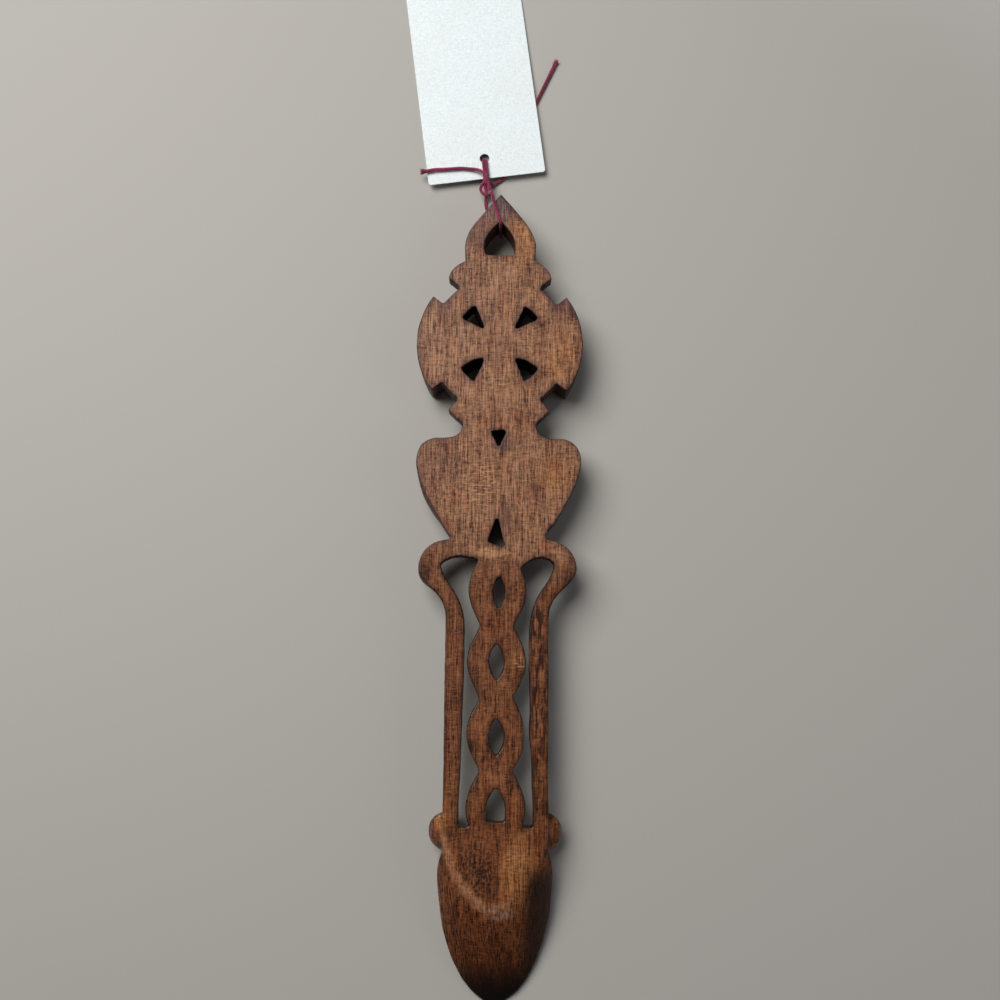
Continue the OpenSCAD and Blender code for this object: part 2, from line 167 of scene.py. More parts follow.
def as_object(name, mesh, material):
    """Turns a mesh made in millimetres into a shaded object that stays above the table."""
    for v in mesh.verts:
        v.co *= MM
        v.co.z = max(v.co.z, 0.02 * MM)
    data = bpy.data.meshes.new(name)
    bmesh.ops.recalc_face_normals(mesh, faces=mesh.faces)
    mesh.to_mesh(data)
    mesh.free()
    data.shade_smooth()
    data.materials.append(material)
    piece = bpy.data.objects.new(name, data)
    bpy.context.scene.collection.objects.link(piece)
    return piece


def group(name, inputs, outputs):
    """An empty shader node group with its sockets, and its two ends."""
    tree = bpy.data.node_groups.new(name, "ShaderNodeTree")
    for side, sockets in (("INPUT", inputs), ("OUTPUT", outputs)):
        for text, kind in sockets:
            tree.interface.new_socket(text, in_out=side, socket_type="NodeSocket" + kind)
    return tree, tree.nodes.new("NodeGroupInput"), tree.nodes.new("NodeGroupOutput")


def add(tree, kind, settings=None, **inputs):
    """A node with its settings, and its sockets given a value or linked to another's output.

    A socket goes by its name, with _ for a space, or by i and its number.
    """
    node = tree.nodes.new(kind)
    for key, value in (settings or {}).items():
        setattr(node, key, value)
    for key, value in inputs.items():
        numbered = key[0] == "i" and key[1:].isdigit()
        socket = node.inputs[int(key[1:]) if numbered else key.replace("_", " ")]
        if isinstance(value, bpy.types.NodeSocket):
            tree.links.new(value, socket)
        else:
            socket.default_value = value
    return node


def maths(tree, operation, a, b=0.0):
    return add(tree, "ShaderNodeMath", {"operation": operation}, i0=a, i1=b).outputs[0]


def spread(tree, value, low, high, to_low=0.0, to_high=1.0):
    """The value moved from one range to another, held at its ends."""
    return add(tree, "ShaderNodeMapRange", {"interpolation_type": "SMOOTHSTEP"}, Value=value,
               From_Min=low, From_Max=high, To_Min=to_low, To_Max=to_high).outputs[0]


def mix(tree, share, a, b, blend="MIX"):
    """Colour a, with the share of colour b laid over it."""
    return add(tree, "ShaderNodeMix", {"data_type": "RGBA", "blend_type": blend},
               i0=share, i6=a, i7=b).outputs[2]


patches, ends_in, ends_out = group(
    "patches", (("Place", "Vector"), ("Size", "Float"), ("Stretch", "Vector"), ("Shift", "Float"),
                ("Detail", "Float")), (("Mask", "Float"),))
drawn = add(patches, "ShaderNodeVectorMath", {"operation": "DIVIDE"},
            i0=ends_in.outputs["Place"], i1=ends_in.outputs["Stretch"])
sized = add(patches, "ShaderNodeVectorMath", {"operation": "SCALE"}, i0=drawn.outputs[0],
            Scale=maths(patches, "DIVIDE", 1000.0, ends_in.outputs["Size"]))
moved = add(patches, "ShaderNodeVectorMath", {"operation": "ADD"}, i0=sized.outputs[0],
            i1=ends_in.outputs["Shift"])
patches.links.new(
    add(patches, "ShaderNodeTexNoise", Vector=moved.outputs[0], Scale=1.0,
        Detail=ends_in.outputs["Detail"], Roughness=0.55).outputs["Fac"], ends_out.inputs["Mask"])


def patchy(tree, place, size, detail=2.0, stretch=(1, 1, 1), shift=0.0):
    """Soft patches from 0 to 1, size millimetres across and stretched along x, y and z."""
    return add(tree, "ShaderNodeGroup", {"node_tree": patches}, Place=place, Size=size,
               Stretch=stretch, Shift=shift, Detail=detail).outputs["Mask"]


def material(name):
    """A new material with its Principled node and the place on the object."""
    made = bpy.data.materials.new(name)
    made.use_nodes = True
    tree = made.node_tree
    principled = tree.nodes["Principled BSDF"]
    place = tree.nodes.new("ShaderNodeTexCoord").outputs["Object"]
    return made, tree, principled, place


def rgb(red, green, blue):
    """A colour given as it looks on screen, from 0 to 255."""
    return tuple((c / 255 / 12.92) if c <= 10 else ((c / 255 + 0.055) / 1.055) ** 2.4
                 for c in (red, green, blue)) + (1.0,)


yarn_dye, tree, principled, place = material("crimson_yarn")
lint = patchy(tree, place, 0.35, 3)
faded = patchy(tree, place, 6, 2, shift=3.0)
dyed = mix(tree, spread(tree, lint, 0.3, 0.7), rgb(60, 3, 26), rgb(164, 30, 84))
dyed = mix(tree, spread(tree, faded, 0.45, 0.75, 0, 0.4), dyed, rgb(200, 66, 120))
tree.links.new(dyed, principled.inputs["Base Color"])
principled.inputs["Roughness"].default_value = 0.85
principled.inputs["Sheen Weight"].default_value = 0.35
principled.inputs["Sheen Roughness"].default_value = 0.5
bump = add(tree, "ShaderNodeBump", Strength=0.5, Distance=0.0001,
           Height=patchy(tree, place, 0.12, 2, (1, 3, 1)))
tree.links.new(bump.outputs[0], principled.inputs["Normal"])

# Points that two stretches share: where the loop leaves the knot and comes back, where each tail
# starts, and where the knot's bundle meets the turns over and under the card. Then half the gap
# between the two turns.
LOOP_OUT, LOOP_BACK = (-5.2, 179.2, 4.8), (-6.4, 179.2, 2.4)
RIGHT_FROM, LEFT_FROM = (-4.4, 183.8, 1.8), (-6.6, 186.3, 6.1)
OVER_LEFT, OVER_RIGHT = (-7.7, 186.1, 4.6), (-6.1, 186.1, 4.6)
UNDER_LEFT, UNDER_RIGHT = (-7.7, 186.1, 1.6), (-6.1, 186.1, 1.6)
TURN_GAP = 0.64
neck_route = [
    LOOP_OUT, (-5, 178, 7.2), (-4.7, 176.6, 10.4), (-4.5, 175.4, 13.4),
    (-4.3, 174.2, 16.5), (-4, 172.8, 18.3), (-3.5, 170.6, 18.85), (-2.9, 168, 18.75),
    (-2.2, 165.2, 18.75), (-1.4, 162.4, 18.85), (-0.6, 159.9, 18.95), (-0.1, 158.7, 18.5),
    (0, 158.2, 17.2), (0, 158.2, 14.6), (0, 158.2, 11.8), (0, 158.2, 9), (0, 158.2, 6.2),
    (0, 158.2, 4.2), (-0.2, 158.8, 2.4), (-0.9, 160.4, 1.2), (-2.2, 163, 1), (-3.6, 165.8, 1),
    (-5, 168.8, 1), (-6.2, 171.8, 1), (-7, 174.8, 1.1), (-7, 177.4, 1.5), LOOP_BACK]
tail_right_route = [
    RIGHT_FROM, (-2, 185.6, 0.9), (0.8, 187.6, 0.8), (3, 190.2, 0.8),
    (4.6, 193.4, 0.8), (5.8, 196.8, 0.8), (7, 200.2, 0.8), (8.2, 203.6, 0.8),
    (9.4, 207, 0.8), (10.6, 210.4, 0.8), (11.8, 213.8, 0.8), (13, 217.2, 0.8),
    (14.2, 220.6, 0.8), (15.5, 224, 0.8), (16.9, 227.3, 0.8), (18.4, 230.6, 0.8),
    (19.9, 233.9, 0.8), (21.4, 237.2, 0.8), (22.9, 240.5, 0.8), (24.3, 243.6, 0.8),
    (25.4, 246.2, 0.8)]
tail_left_route = [
    LEFT_FROM, (-7.6, 187.6, 6.2), (-9.4, 189.2, 5.8), (-11.6, 190.2, 5.07),
    (-14.3, 190.7, 4.52), (-17.4, 191, 4.42), (-20.6, 190.9, 4.42), (-23.8, 190.6, 4.42),
    (-27, 190.4, 4.42), (-30.2, 190.2, 4.47), (-33.4, 189.6, 4.42), (-36.8, 189, 4.4)]


def tag_turn(side):
    """One of the two turns from the knot through the tag's hole and back under the card."""
    dx = TURN_GAP * side
    return [(-6.5 + dx / 2, 183.8, 4.3), (-6.9 + dx, 186.1, 4.6), (-7 + dx, 188.4, 4.5),
            (-7.3 + dx, 191.2, 4.3), (-7.6 + dx, 194.1, 4.1), (-7.7 + dx, 195.6, 3.3),
            (-7.7 + dx, 195.8, 1.9), (-7.6 + dx, 194.2, 1.1), (-7.3 + dx, 191.2, 1),
            (-7 + dx, 188.4, 1), (-6.9 + dx, 186.1, 1.6), (-6.5 + dx / 2, 183.8, 2.2)]


# The knot is an overhand knot: one end crosses over the bundle, goes round it next to the spoon's
# tip, loops up on the left and dives through to come out as the right tail.
knot_bight = [
    LEFT_FROM, (-6.3, 184.9, 6.0), (-5.9, 183.2, 5.9), (-5.3, 181.4, 5.7),
    (-4.8, 179.8, 5.1), (-4.7, 178.8, 4.1), (-5.4, 178.2, 4.3), (-6.6, 178.1, 4.7),
    (-8.0, 178.7, 4.5), (-9.0, 180.0, 4.0), (-9.3, 181.6, 3.7), (-8.7, 183.3, 3.8),
    (-7.5, 184.6, 4.2), (-6.2, 185.1, 4.3), (-5.0, 184.8, 3.3), RIGHT_FROM]
bundle_left = [LOOP_BACK, (-7.0, 181.0, 3.0), (-7.5, 183.2, 3.4), OVER_LEFT]
bundle_right = [LOOP_OUT, (-5.5, 181.2, 4.2), (-5.9, 183.6, 4.2), OVER_RIGHT]
under_left = [LOOP_BACK, (-6.6, 182.0, 1.9), (-7.2, 184.2, 1.7), UNDER_LEFT]
under_right = [LOOP_OUT, (-5.2, 181.0, 2.6), (-5.8, 183.8, 1.9), UNDER_RIGHT]


def stretch_of_yarn(name, line, swell, fibres, seed, longest, cut=None):
    """One stretch of yarn with its loose fibres; cut is the seed of its frayed end, if it has one."""
    mesh = bmesh.new()
    spin(mesh, line, 0.0, swell)
    fuzz(mesh, line, fibres, seed, longest)
    if cut is not None:
        fray(mesh, line, cut)
    return as_object(name, mesh, yarn_dye)


neck_line = smooth_route(neck_route)
right_line = smooth_route(tail_right_route)
left_line = smooth_route(tail_left_route)
neck_loop = stretch_of_yarn("yarn_neck_loop", neck_line, swell=0.0, fibres=60, seed=1, longest=0.6)

knot_mesh = bmesh.new()
for order, route in enumerate((knot_bight, bundle_left, bundle_right, under_left, under_right)):
    spin(knot_mesh, smooth_route(route), order * 1.3)
fuzz(knot_mesh, smooth_route(knot_bight), count=50, seed=2, longest=0.8)
knot = as_object("yarn_knot", knot_mesh, yarn_dye)

tail_right = stretch_of_yarn("yarn_tail_right", right_line, swell=0.3, fibres=80, seed=3,
                             longest=0.55, cut=4)
tail_left = stretch_of_yarn("yarn_tail_left", left_line, swell=0.22, fibres=60, seed=5,
                            longest=0.4, cut=6)

turns_mesh = bmesh.new()
for side in (-1, 1):
    turn_line = smooth_route(tag_turn(side))
    spin(turns_mesh, turn_line, side)
    fuzz(turns_mesh, turn_line, count=16, seed=7 + side, longest=0.5)
tag_turns = as_object("yarn_tag_turns", turns_mesh, yarn_dye)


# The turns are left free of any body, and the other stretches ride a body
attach(neck_loop, "string")
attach(knot, "string")
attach(tail_right, "string")
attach(tail_left, "tag_loop")
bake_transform(tag_turns)
for piece, node in ((neck_loop, "string_neck_loop"), (knot, "string_knot"),
                    (tail_right, "string_tail_right"), (tail_left, "string_tail_left"),
                    (tag_turns, "string_tag_loop")):
    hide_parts(node)


# Tag: a white card with a fine linen emboss, its corners just rounded, punched for the yarn.
# Its near edge is propped up by the right tail and its far edge lies on the table.
TAG_W, TAG_L, TAG_T = 54.0, 110.0, 0.45
HOLE_D, HOLE_EDGE = 4.5, 9.9
TAG_CORNER, TAG_EASED = 1.2, 0.07
TAG_AT = Vector((-6.45, 186.75, 2.85))
TAG_TURNED, TAG_TILT = math.radians(7.6), math.radians(1.43)
CORNER_STEPS, HOLE_STEPS, STRIPS = 6, 40, 11


def card_outline():
    """Points round the card, anticlockwise, and round its hole, clockwise."""
    rim, r = [], TAG_CORNER
    centres = ((TAG_W / 2 - r, r), (TAG_W / 2 - r, TAG_L - r),
               (r - TAG_W / 2, TAG_L - r), (r - TAG_W / 2, r))
    for quarter, (cx, cy) in enumerate(centres):
        for i in range(CORNER_STEPS + 1):
            a = math.pi / 2 * (quarter - 1 + i / CORNER_STEPS)
            rim.append((cx + r * math.cos(a), cy + r * math.sin(a)))
    hole = [(HOLE_D / 2 * math.cos(a), HOLE_EDGE - HOLE_D / 2 * math.sin(a))
            for a in (2 * math.pi * i / HOLE_STEPS for i in range(HOLE_STEPS))]
    return rim, hole


card_mesh = bmesh.new()
rims = []
for outline in card_outline():
    ring = [card_mesh.verts.new((x, y, 0)) for x, y in outline]
    rims += [card_mesh.edges.new((a, b)) for a, b in zip(ring, ring[1:] + ring[:1])]
bmesh.ops.triangle_fill(card_mesh, edges=rims, use_beauty=True)
if card_mesh.faces[:][0].normal.z < 0:
    bmesh.ops.reverse_faces(card_mesh, faces=card_mesh.faces)
for cut in range(1, STRIPS):
    everything = card_mesh.verts[:] + card_mesh.edges[:] + card_mesh.faces[:]
    bmesh.ops.bisect_plane(card_mesh, geom=everything, plane_co=(0, TAG_L * cut / STRIPS, 0),
                           plane_no=(0, 1, 0))
top = bmesh.ops.extrude_face_region(card_mesh, geom=card_mesh.faces[:])
for v in (g for g in top["geom"] if isinstance(g, bmesh.types.BMVert)):
    v.co.z += TAG_T
sharp = [e for e in card_mesh.edges if len(e.link_faces) == 2
         and e.calc_face_angle(0) > math.radians(60)]
bmesh.ops.bevel(card_mesh, geom=sharp, offset=TAG_EASED, segments=2, affect="EDGES")
lie = Matrix.Translation(TAG_AT) @ Matrix.Rotation(TAG_TURNED, 4, "Z") \
    @ Matrix.Rotation(-TAG_TILT, 4, "X")
card_mesh.transform(lie)

linen_card, tree, principled, place = material("linen_card")
turned = add(tree, "ShaderNodeMapping", Vector=place, Rotation=(0, 0, -TAG_TURNED)).outputs[0]
warp = patchy(tree, turned, 0.36, 1, (1, 5, 1))
weft = patchy(tree, turned, 0.36, 1, (5, 1, 1), 5.0)
linen = maths(tree, "ADD", warp, weft)
paper = mix(tree, spread(tree, linen, 0.75, 1.2), rgb(222, 231, 234), rgb(240, 247, 250))
paper = mix(tree, spread(tree, patchy(tree, place, 30, 2), 0.4, 0.7, 0, 0.2), paper,
            rgb(226, 229, 228))
tree.links.new(paper, principled.inputs["Base Color"])
principled.inputs["Roughness"].default_value = 0.62
bump = add(tree, "ShaderNodeBump", Strength=0.35, Distance=0.00008, Height=linen)
tree.links.new(bump.outputs[0], principled.inputs["Normal"])

card = as_object("card_tag", card_mesh, linen_card)
card.data.shade_flat()
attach(card, "tag")
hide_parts("tag")


# Spoon: carved from one board of stained and varnished hardwood. The sawn outline is cut with
# a knife, so its edges are eased, its curves wander a little, and no two sides are quite alike.
# On its face, which lies down, the hearts, strands and cross are rounded over.

# Sizes in millimetres: the board's thickness, where its parts begin along the grain, the middles
# of two links, how far the face of each set-back part is from the table, and the heights between
# which the flat back turns over into the slope of the bowl
BOARD = 18.0
Y_PANEL, Y_BAND, Y_HEARTS, Y_CROSS, Y_FINIAL = -99.85, 11.05, 19.95, 68.55, 141.25
FIRST_LINK, THIRD_LINK = -2.75, -61.95
FINIAL_FACE, BAND_FACE, PANEL_FACE = 3.5, 7.5, 10.0
RIDGE_LOW, RIDGE_HIGH = 17.35, 17.75
# The step of the even mesh, the share of its triangles that is kept, the longest distance that
# the finish asks for, and how wide a gap between walls still counts as closed in
VOXEL = 0.5
KEPT_SHARE = 0.41
FAR = 12.0
SHUT_GAP = 5


def read_points(data):
    """The mesh's points in millimetres, and their normals."""
    at = np.empty(len(data.vertices) * 3, np.float32)
    data.vertices.foreach_get("co", at)
    facing = np.empty(len(data.vertices) * 3, np.float32)
    data.vertex_normals.foreach_get("vector", facing)
    return at.reshape(-1, 3) / MM, facing.reshape(-1, 3)


def write_points(data, at):
    data.vertices.foreach_set("co", (at * MM).astype(np.float32).ravel())
    data.update()


def step_up(value, low, high):
    """0 below low, 1 above high, and smooth between."""
    t = np.clip((value - low) / (high - low), 0, 1)
    return t * t * (3 - 2 * t)


def bumps(at, size, seed):
    """Smooth noise from -1 to 1 at each point; size is a bump's length along x, y and z."""
    scaled = (at / np.array(size) + seed).tolist()
    return np.array([noise.noise(p) for p in scaled])


def remeshed(source, name, voxel):
    """A copy of the object with an even mesh."""
    copy = bpy.data.objects.new(name, source.data.copy())
    bpy.context.scene.collection.objects.link(copy)
    even = copy.modifiers.new("even", "REMESH")
    even.mode = "VOXEL"
    even.voxel_size = voxel * MM
    take(copy)
    return copy


def take(piece):
    """Makes the modifiers' result the piece's own mesh."""
    view = bpy.context.evaluated_depsgraph_get()
    data = bpy.data.meshes.new_from_object(piece.evaluated_get(view))
    piece.modifiers.clear()
    piece.data = data


def tree_of(points):
    tree = kdtree.KDTree(len(points))
    for i, p in enumerate(points.tolist()):
        tree.insert(p, i)
    tree.balance()
    return tree


def nearest(tree, points):
    """Distance from each point to the nearest one in the tree."""
    return np.array([tree.find(p)[2] for p in points.tolist()])


spoon = remeshed(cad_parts["spoon"], "carved_spoon", VOXEL)
at, facing = read_points(spoon.data)
x, y, z = at.T
side_on = np.abs(facing[:, 2])

# The carved face: wood near an edge of it is pared away to a round
on_finial = y > Y_FINIAL - 3
face_z = np.where(on_finial, FINIAL_FACE, 0.0)
face_z = np.where((y < Y_BAND) & (y > Y_PANEL - 2), PANEL_FACE, face_z)
face_z = np.where((y < Y_HEARTS) & (y >= Y_BAND), BAND_FACE, face_z)
wall = (side_on < 0.35) & (y > Y_PANEL - 1)
low_wall = wall & (z < face_z + 5)
# How far in the round goes and how high: on the finial, cross, hearts, band and open panel
parts = [on_finial, y > Y_CROSS, y > Y_HEARTS, y > Y_BAND]
round_r = np.select(parts, [2.5, 2.2, 8.0, 3.0], 3.4)
round_h = np.select(parts, [1.8, 1.4, 3.6, 2.0], 2.6)
reach = np.full(len(at), 99.0)
near_face = (z < BOARD - 1) & (y > Y_PANEL - 1)
flat_tree = tree_of(at[low_wall] * (1, 1, 0))
reach[near_face] = nearest(flat_tree, at[near_face] * (1, 1, 0))
inward = np.clip(1 - reach / round_r, 0, 1)
lift = round_h * (1 - np.sqrt(np.clip(1 - inward ** 2, 0, 1)))
lift *= near_face * step_up(y, Y_PANEL, Y_PANEL + 3)
depth = np.clip((BOARD - z) / (BOARD - face_z), 0, 1)
z += lift * depth

# The knife's wandering, and the places where the cut went plainly to one side:
# middle x, y, reach, push along x and y, and whether it is only the lower wood
at[:, 0] += 0.20 * bumps(at, (40, 13, 60), 3.1) + 0.10 * bumps(at, (12, 5, 30), 7.7)
at[:, 1] += 0.20 * bumps(at, (13, 40, 60), 11.3) + 0.08 * bumps(at, (5, 12, 30), 15.9)
PUSHES = ((-30, 36, 15, -1.2, -0.4, True), (-33, 1, 9, -0.9, -0.4, True),
          (12.4, THIRD_LINK, 8, -1.0, 0, False), (-4, FIRST_LINK + 2, 4, 0.3, 0, False),
          (21.5, 22.5, 4, -0.6, 0.7, False), (-22, 21, 6, 0.4, -0.6, False))
for px, py, far, dx, dy, low_only in PUSHES:
    share = np.exp(-((x - px) ** 2 + (y - py) ** 2) / (0.5 * far ** 2))
    if low_only:
        share *= step_up(BOARD - z, 0.5, 6)
    at[:, 0] += share * dx
    at[:, 1] += share * dy
write_points(spoon.data, at)
soft = spoon.modifiers.new("soft", "SMOOTH")
soft.factor, soft.iterations = 0.5, 6
take(spoon)

# Knife marks: shallow facets on the walls and the bowl, barely any on the sanded back
at, facing = read_points(spoon.data)
x, y, z = at.T
marks = 0.10 * bumps(at, (6, 6, 9), 21.0) + 0.05 * bumps(at, (2.2, 3.5, 5), 25.0)
strength = 0.35 + 0.9 * (1 - step_up(facing[:, 2], 0.7, 0.95))
at += facing * (marks * strength)[:, None]
write_points(spoon.data, at)

# Fewer triangles where the wood is plain, so the piece stays under 200,000
thin = spoon.modifiers.new("thin", "DECIMATE")
thin.ratio = KEPT_SHARE
take(spoon)

# What the finish needs to know at each point: how far off the nearest edge of the flat back is and
# the ridge round the bowl's flat, and how closed in a wall is by the one across from it, which sets
# the painted shade in the holes
at, facing = read_points(spoon.data)
x, y, z = at.T
edge = (np.abs(facing[:, 2]) < 0.6) & (z > BOARD - 4)
to_edge = np.full(len(at), FAR)
back = z > BOARD - 5
to_edge[back] = np.minimum(FAR, nearest(tree_of(at[edge]), at[back]))
walls = np.abs(facing[:, 2]) < 0.5
wall_at, wall_facing = at[walls], facing[walls]
wall_tree = tree_of(wall_at)
shut = np.zeros(len(at))
closed = []
for p, n in zip(wall_at.tolist(), wall_facing.tolist()):
    ahead = (p[0] + SHUT_GAP * n[0], p[1] + SHUT_GAP * n[1], p[2])
    _, i, gap = wall_tree.find(ahead)
    facing_back = -float(np.dot(wall_facing[i], n))
    closed.append(max(0.0, 1 - gap / SHUT_GAP) * max(0.0, facing_back + 0.3))
shut[walls] = np.minimum(1, closed)
bend = (y < Y_PANEL - 2) & (z > RIDGE_LOW) & (z < RIDGE_HIGH)
to_ridge = np.full(len(at), FAR)
bowl = y < Y_PANEL + 6
to_ridge[bowl] = np.minimum(FAR, nearest(tree_of(at[bend]), at[bowl]))
for name, values in (("to_edge", to_edge), ("shut_in", shut), ("to_ridge", to_ridge)):
    stored = spoon.data.attributes.new(name, "FLOAT", "POINT")
    stored.data.foreach_set("value", values.astype(np.float32))

# The finish: contrast of the grain, place of the short crack, size of a dimple in millimetres
CONTRAST = 2.9
CRACK_X, CRACK_Y = 1.0, -14.8
DIMPLE = (0.9, 1.6, 4.0)
stained_wood, tree, wood, place = material("stained_wood")
axes = add(tree, "ShaderNodeSeparateXYZ", Vector=place)
across, along, up = (maths(tree, "DIVIDE", axis, MM) for axis in axes.outputs[:3])
object_normal = tree.nodes["Texture Coordinate"].outputs["Normal"]
tilt = maths(tree, "ABSOLUTE", add(tree, "ShaderNodeSeparateXYZ", Vector=object_normal).outputs[2])
to_edge_at, to_ridge_at, hole_shade_at = (
    add(tree, "ShaderNodeAttribute", {"attribute_name": name}).outputs["Fac"]
    for name in ("to_edge", "to_ridge", "shut_in"))


def times(a, b):
    return maths(tree, "MULTIPLY", a, b)


def divided(a, b):
    return maths(tree, "DIVIDE", a, b)


def plus(a, b):
    return maths(tree, "ADD", a, b)


def minus(a, b):
    return maths(tree, "SUBTRACT", a, b)


def spot(x, y, reach, strength=1.0, tall=1.0):
    """A soft patch round a place on the board; tall stretches it along the grain."""
    off = add(tree, "ShaderNodeCombineXYZ", X=divided(minus(across, x), reach),
              Y=divided(minus(along, y), reach * tall)).outputs[0]
    gone = add(tree, "ShaderNodeVectorMath", {"operation": "LENGTH"}, i0=off).outputs["Value"]
    return spread(tree, gone, 1.25, 0.35, 0, strength)


def strongest(masks):
    total = masks[0]
    for other in masks[1:]:
        total = maths(tree, "MAXIMUM", total, other)
    return total


def over(base, share, colour):
    """The base colour with the share of a colour laid over it."""
    return mix(tree, share, base, colour)


def grained(dark, pale):
    """A colour that goes from dark to pale with the grain."""
    return mix(tree, streak, rgb(*dark), rgb(*pale))


def dyed_by(base, share, colour):
    """The base colour, stained by a clear dye of that colour."""
    return mix(tree, share, base, mix(tree, 1.0, base, colour, "MULTIPLY"))


# The board's own grain: growth layers, fine fibres along it, and rays across it
wander = times(minus(patchy(tree, place, 9, stretch=(1, 6, 1)), 0.5), 5.0)
from_heart = divided(minus(plus(across, wander), 3), 1.8)
bowed = maths(tree, "SQRT", plus(times(from_heart, from_heart), 1.0))
layer_at = minus(times(bowed, 2.4), times(up, 0.9))
layers = add(tree, "ShaderNodeTexNoise", {"noise_dimensions": "1D"},
             W=divided(layer_at, 1.1), Scale=1.0, Detail=1.0).outputs["Fac"]
fibres = patchy(tree, place, 0.44, 1, (1, 24, 4), 5.0)
fine = patchy(tree, place, 0.52, 2, (1, 4, 4), 9.0)
rays = patchy(tree, place, 0.8, 2, (3.0, 0.7, 3), 2.0)
cloud = patchy(tree, place, 5, 3, (1, 2.2, 2), 17.0)
grain = plus(times(fibres, 0.62), times(fine, 0.38))
layer_share = spread(tree, along, -118, -128, 0.12, 0.34)
for pattern, share in ((layers, layer_share), (rays, 0.42), (cloud, 0.22)):
    grain = plus(grain, times(minus(pattern, 0.5), share))
streak = add(tree, "ShaderNodeMath", {"operation": "MULTIPLY_ADD", "use_clamp": True},
             i0=minus(grain, 0.5), i1=CONTRAST, i2=0.5).outputs[0]

# Stain: paler over the head, redder and darker towards the bowl
uneven = patchy(tree, place, 13, 3, (1, 1.7, 1), 4.0)
height_on = plus(along, times(minus(uneven, 0.5), 40.0))
tone = over(grained((44, 15, 4), (150, 95, 62)), spread(tree, height_on, -2, 26),
            grained((58, 30, 19), (180, 130, 98)))
tone = over(grained((28, 9, 3), (140, 82, 48)), spread(tree, height_on, -112, -78), tone)
purple = spread(tree, patchy(tree, place, 8, 3, (1, 2, 1), 8.0), 0.55, 0.72, 0, 0.45)
tone = dyed_by(tone, purple, rgb(190, 168, 170))
ruddy = spread(tree, patchy(tree, place, 6, 3, (1, 1.8, 1), 21.0), 0.48, 0.68, 0, 0.6)
tone = dyed_by(tone, ruddy, rgb(236, 200, 184))
golden = strongest([spot(9, 151, 8, 0.9, 1.7), spot(27, 96, 8, 0.6, 1.5), spot(24, 46, 9, 0.7),
                    spot(9, -116, 8, 1.0, 1.9), spot(-3, 13, 7, 0.8, 0.4), spot(-22, -97, 4, 0.9),
                    spot(27, -98, 3, 0.7), spot(8, -32, 5, 0.5)])
tone = over(tone, times(golden, 0.6), grained((88, 44, 18), (200, 138, 86)))
flecks = spread(tree, patchy(tree, place, 1.5, 2, (3.0, 0.5, 1), 30.0), 0.52, 0.62)
flecked = strongest([spot(-8, 42, 9, 1.0, 1.5), spot(10.1, -32.8, 4, 0.9), spot(14, -76, 4, 0.6),
                     spot(8, -112, 6, 0.6), spot(-2, 88, 7, 0.6)])
tone = over(tone, times(times(flecks, flecked), 0.6), rgb(206, 154, 116))
# Painted highlight: a pale diagonal patch over the band, where light catches a facet
painted_facet_highlight = spot(-3, 13, 8.0, 0.7, 0.3)
tone = over(tone, painted_facet_highlight, grained((132, 88, 56), (214, 170, 130)))

# Dark stain that has gathered: at the tip, the shoulders, beside the twist and along the edges
pooled = strongest([
    spot(0, 171, 12, 1.0), spot(-11, 158, 8, 0.8, 1.6), spot(27.5, 121, 8, 0.9),
    spot(-24, 122, 5, 0.4), spot(33, 0, 8, 1.0, 1.3), spot(-33, 2, 5, 0.6), spot(3, 60, 5, 0.7),
    spot(3, 27, 5, 0.5, 2.0), spot(-26, 50, 11, 0.5), spot(15, 38, 6, 0.35),
    spot(-27, -91, 4, 1.0), spot(21, -91, 4.5, 0.9), spot(-22, -108, 3, 0.9, 0.7),
    spot(-7, -118, 9, 0.75, 1.7), spot(11, -40, 4, 0.5, 1.5), spot(-9, -66, 4, 0.5)])
stain = mix(tree, spread(tree, along, -4, 24), rgb(40, 20, 12), rgb(74, 50, 54))
tone = over(tone, times(pooled, spread(tree, uneven, 0.2, 0.75, 0.6, 1.0)),
            over(stain, times(streak, 0.42), tone))

# A painted highlight along the edge left of the tip, the short crack over the twist, and the dull tip
# itself
rim = times(spread(tree, to_edge_at, 0.8, 0.2), spot(-9, 166, 9, 0.75, 1.3))
tone = over(tone, times(rim, spread(tree, across, 1, -2)), rgb(178, 170, 166))
crack_off = plus(maths(tree, "ABSOLUTE", minus(across, CRACK_X)), times(fine, 0.5))
crack_run = maths(tree, "ABSOLUTE", minus(along, CRACK_Y))
crack = times(spread(tree, crack_off, 0.62, 0.3), spread(tree, crack_run, 4.2, 3.2))
tone = over(tone, times(crack, 0.75), rgb(30, 16, 10))
dusk = spot(-1, 173, 13, 0.75, 1.1)
tone = over(tone, dusk, grained((66, 46, 50), (132, 108, 108)))

# Blotches down the right rail, darker edges all round, and a burnt line at the very edge
blotches = spread(tree, patchy(tree, place, 1.7, 2, (1, 4.5, 1), 1.0), 0.44, 0.60)
tone = over(tone, times(times(spot(17.5, -38, 6.0, 1.0, 9.0), blotches), 0.9), rgb(34, 18, 13))
edge_wander = times(patchy(tree, place, 3.5, 3, shift=6.0), 3.2)
edge_band = spread(tree, minus(to_edge_at, edge_wander), 1.2, -1.6)
saddle = spread(tree, strongest([spot(-22, -96, 6), spot(23, -98, 4)]), 0, 1, 1, 0)
tone = over(tone, times(times(edge_band, saddle), 0.55), stain)
burnt = spread(tree, plus(to_edge_at, times(fine, 0.7)), 1.15, 0.35)
unlit = times(saddle, spread(tree, rim, 0, 0.4, 1, 0))
tone = over(tone, times(times(burnt, unlit), 0.6), rgb(30, 18, 15))
